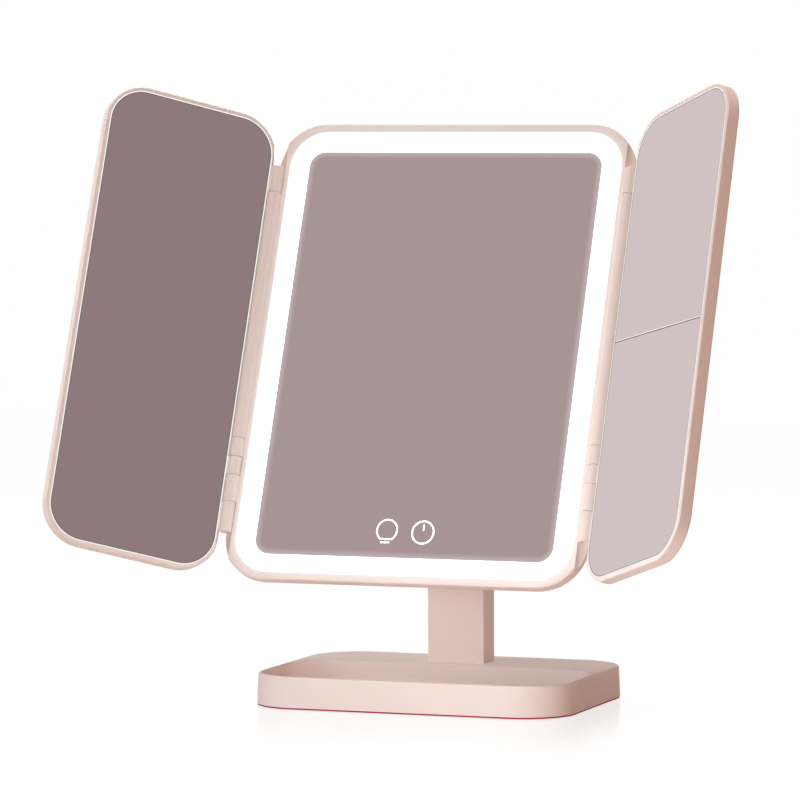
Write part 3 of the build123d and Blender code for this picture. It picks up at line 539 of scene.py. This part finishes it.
def cross_screw(name, head, length, matrix, head_radius=SCREW_HEAD, shank_radius=SCREW_SHANK):
    """Pan-head screw about Z, its head's top at zero and its shank down, in one closed surface.

    The profile turns about Z: over the head, whose rim is rounded, in under it and down the
    shank. The top sinks where the smaller of its two distances from the cross's arms is under
    the arm's half width, deepest in the middle.
    """
    edge = 0.3 * MM
    tip_start = 0.85            # share of the length, where the shank starts to narrow
    tip_share = 0.6             # of the shank's radius, at its end
    arm_half = 0.38 * MM
    arm_slope = 0.14 * MM
    arm_reach = 0.62            # share of the head's radius
    end_slope = 0.5 * MM
    sink_share = 0.7            # of the head's height
    turn = np.linspace(0, 2 * math.pi, 48, endpoint=False)
    ease = np.linspace(0, math.pi / 2, 6)
    top = np.linspace(0, head_radius - edge, 16)
    radius = np.concatenate([top, head_radius - edge + edge * np.sin(ease[1:]), [head_radius],
                             [shank_radius, shank_radius, shank_radius * tip_share, 0]])
    height = np.concatenate([top * 0, edge * (np.cos(ease[1:]) - 1), [-head],
                             [-head, -head - length * tip_start, -head - length, -head - length]])
    x = radius[:, None] * np.cos(turn)
    y = radius[:, None] * np.sin(turn)
    arm = np.minimum(np.abs(x), np.abs(y))
    far = np.maximum(np.abs(x), np.abs(y))
    across = np.clip((arm_half - arm) / arm_slope, 0, 1)
    along = np.clip((arm_reach * head_radius - far) / end_slope, 0, 1)
    on_top = np.arange(len(radius))[:, None] < len(top)
    sink = np.where(on_top, sink_share * head * across * along, 0)
    points = np.stack([x, y, height[:, None] - sink], -1)
    return surface(name, moved(points, matrix), False, True)


def back_screws():
    """Cross-recess screws of the service cover, the hinge bracket and the post's rear cover."""
    flip = Matrix.Rotation(math.pi, 4, "X")
    towards_back = Matrix.Rotation(-math.pi / 2, 4, "X")
    cover_face = POD_BACK + 0.1 * MM
    bracket_face = POD_BACK - 3.1 * MM
    service = [ON_PANEL @ Matrix.Translation((x, y, cover_face)) @ flip
               for x in (-SERVICE_SCREWS_X, SERVICE_SCREWS_X) for y in SERVICE_SCREWS_Y]
    bracket = [ON_PANEL @ Matrix.Translation((x, HINGE_HEIGHT + y, bracket_face)) @ flip
               for x in (-BRACKET_SCREWS_X, BRACKET_SCREWS_X) for y in (-BRACKET_SCREWS_Y, BRACKET_SCREWS_Y)]
    post = [Matrix.Translation((0, POST_BACK - 0.2 * MM, z)) @ towards_back for z in POST_SCREWS_Z]
    sets = (("service_cover_screws", service, 0.9 * MM, 5.0 * MM, "panel"),
            ("bracket_screws", bracket, 1.1 * MM, 6.0 * MM, "panel"),
            ("post_cover_screws", post, 1.1 * MM, 13.1 * MM, "base"))
    for name, spots, head, length, body in sets:
        meshes = [cross_screw(name, head, length, matrix) for matrix in spots]
        piece = joined(name.replace("screws", "cross_screws"), meshes, zinc_steel, body)
        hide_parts(name)


touch_marks()
foam_mat()
magnifying_panes()
glass_edges()
back_screws()


# Table, light and camera

TABLE_HALF = 2.0                # metres
TABLE_WHITE = 0.985
TABLE_SHADOW = "#464343"
TABLE_BOUNCE = "#dac8c1"
TABLE_POLISH = 0.26


def any_ray(tree, kinds):
    """One for the named kinds of ray, such as the camera's own, and zero for the rest."""
    path = add(tree, "LightPath")
    seen = path.outputs[kinds[0]]
    for kind in kinds[1:]:
        seen = add(tree, "Math", {0: seen, 1: path.outputs[kind]}, operation="MAXIMUM").outputs[0]
    return seen


def table_lacquer():
    """White gloss lacquer: seen, it is white with a soft reflection and shadow of the object."""
    material = bpy.data.materials.new("white_gloss_lacquer")
    material.use_nodes = True
    tree = material.node_tree
    tree.nodes.clear()
    shadowed = add(tree, "BsdfDiffuse", {"Color": linear(TABLE_SHADOW)})
    white = add(tree, "Emission", {"Color": (1, 1, 1, 1), "Strength": TABLE_WHITE})
    body = add(tree, "AddShader", {0: shadowed.outputs[0], 1: white.outputs[0]})
    polish = add(tree, "BsdfGlossy", {"Color": (1, 1, 1, 1), "Roughness": 0.2})
    shown = add(tree, "MixShader", {0: TABLE_POLISH, 1: body.outputs[0], 2: polish.outputs[0]})
    bounce = add(tree, "BsdfDiffuse", {"Color": linear(TABLE_BOUNCE)})
    seen = any_ray(tree, ("Is Camera Ray", "Is Glossy Ray"))
    both = add(tree, "MixShader", {0: seen, 1: bounce.outputs[0], 2: shown.outputs[0]})
    add(tree, "OutputMaterial", {"Surface": both.outputs[0]})
    return material


def table_top():
    """Flat square, four metres a side."""
    mesh = bpy.data.meshes.new("table_top")
    corners = [(x * TABLE_HALF, y * TABLE_HALF, 0) for x, y in ((-1, -1), (1, -1), (1, 1), (-1, 1))]
    mesh.from_pydata(corners, [], [(0, 1, 2, 3)])
    made = bpy.data.objects.new("table_top", mesh)
    bpy.context.collection.objects.link(made)
    mesh.materials.append(table_lacquer())
    return made


def dome(tree, direction, axis, sign, colour):
    """Part of the sky that is brightest towards one axis: the axis's share of the direction."""
    share = add(tree, "Math", {0: direction.outputs[axis], 1: sign}, operation="MULTIPLY")
    kept = add(tree, "Math", {0: share.outputs[0], 1: 0.0}, operation="MAXIMUM")
    scaled = add(tree, "VectorMath", {0: colour, "Scale": kept.outputs[0]}, operation="SCALE")
    return scaled.outputs[0]


def pale_studio():
    """White room as seen and mirrored. It lights the object faintly, from behind and the left."""
    world = bpy.data.worlds.new("pale_studio")
    bpy.context.scene.world = world
    world.use_nodes = True
    sky = world.node_tree
    sky.nodes.clear()
    direction = add(sky, "SeparateXYZ", {0: add(sky, "TexCoord").outputs["Generated"]})
    from_behind = dome(sky, direction, 1, 1.0, (0.16, 0.08, 0.06))
    from_left = dome(sky, direction, 0, -1.0, (0.05, 0.04, 0.04))
    warm_sky = add(sky, "VectorMath", {0: from_behind, 1: from_left}, operation="ADD")
    fill = add(sky, "Background", {"Color": warm_sky.outputs[0], "Strength": 1.0})
    white = add(sky, "Background", {"Color": (1, 1, 1, 1), "Strength": 1.0})
    seen = any_ray(sky, ("Is Camera Ray", "Is Glossy Ray", "Is Transmission Ray"))
    both = add(sky, "MixShader", {0: seen, 1: fill.outputs[0], 2: white.outputs[0]})
    add(sky, "OutputWorld", {"Surface": both.outputs[0]})


def soft_lamp(name, where, towards, size, power, colour):
    """Round studio lamp that lights the plastic but isn't mirrored: the mirrors face a bare room."""
    light = bpy.data.lights.new(name, "AREA")
    light.shape = "DISK"
    light.size = size
    light.energy = power
    light.color = linear(colour)[:3]
    lamp = bpy.data.objects.new(name, light)
    lamp.location = where
    lamp.rotation_euler = (Vector(towards) - Vector(where)).to_track_quat("-Z", "Y").to_euler()
    lamp.visible_glossy = False
    bpy.context.collection.objects.link(lamp)


table_top()
pale_studio()
soft_lamp("top_lamp", (0, -0.1, 1.2), (0, 0, 0), 0.6, 7.8, "#fff3eb")
soft_lamp("front_lamp", (0.35, -1.3, 0.35), (0, 0, 0.15), 0.5, 2.6, "#f1faff")
soft_lamp("left_lamp", (-0.55, -0.25, 0.35), (0, 0, 0.15), 0.3, 1.41, "#f1fbff")
soft_lamp("low_left_lamp", (-0.5, -0.6, 0.05), (0, 0, 0.15), 0.3, 0.98, "#e7f4ff")
soft_lamp("near_lamp", (0.06, -0.30, 0.06), (0.04, -0.06, 0.01), 0.12, 0.33, "#ecf9ff")
soft_lamp("right_lamp", (1.0, -0.1, 0.2), (0, 0, 0.12), 0.5, 2.05, "#ffc3a1")
soft_lamp("rear_lamp", (-0.8, 1.0, 0.3), (0, 0, 0.15), 0.5, 2.1, "#fff1eb")
soft_lamp("low_rear_lamp", (-0.5, 1.2, 0.08), (0, 0, 0.15), 0.5, 5.5, "#fff6f2")

CAMERA_TARGET = Vector((-31.2, 26.8, 153.0)) * MM
CAMERA_AZIMUTH = math.radians(20.47)
CAMERA_ELEVATION = math.radians(3.72)
CAMERA_ROLL = math.radians(-0.22)
CAMERA_DISTANCE = 2.6213
CAMERA_LENS = 226.1             # mm, for a sensor 36 mm wide
CAMERA_SENSOR = 36.0
back = Vector((math.sin(CAMERA_AZIMUTH) * math.cos(CAMERA_ELEVATION),
               -math.cos(CAMERA_AZIMUTH) * math.cos(CAMERA_ELEVATION), math.sin(CAMERA_ELEVATION)))
lens = bpy.data.cameras.new("camera")
lens.sensor_width = CAMERA_SENSOR
lens.lens = CAMERA_LENS
camera = bpy.data.objects.new("camera", lens)
bpy.context.collection.objects.link(camera)
camera.location = CAMERA_TARGET + back * CAMERA_DISTANCE
camera.rotation_mode = "QUATERNION"
camera.rotation_quaternion = (-back).to_track_quat("-Z", "Y") @ Quaternion((0, 0, 1), CAMERA_ROLL)
bpy.context.scene.camera = camera

bpy.context.scene.view_settings.view_transform = "Standard"
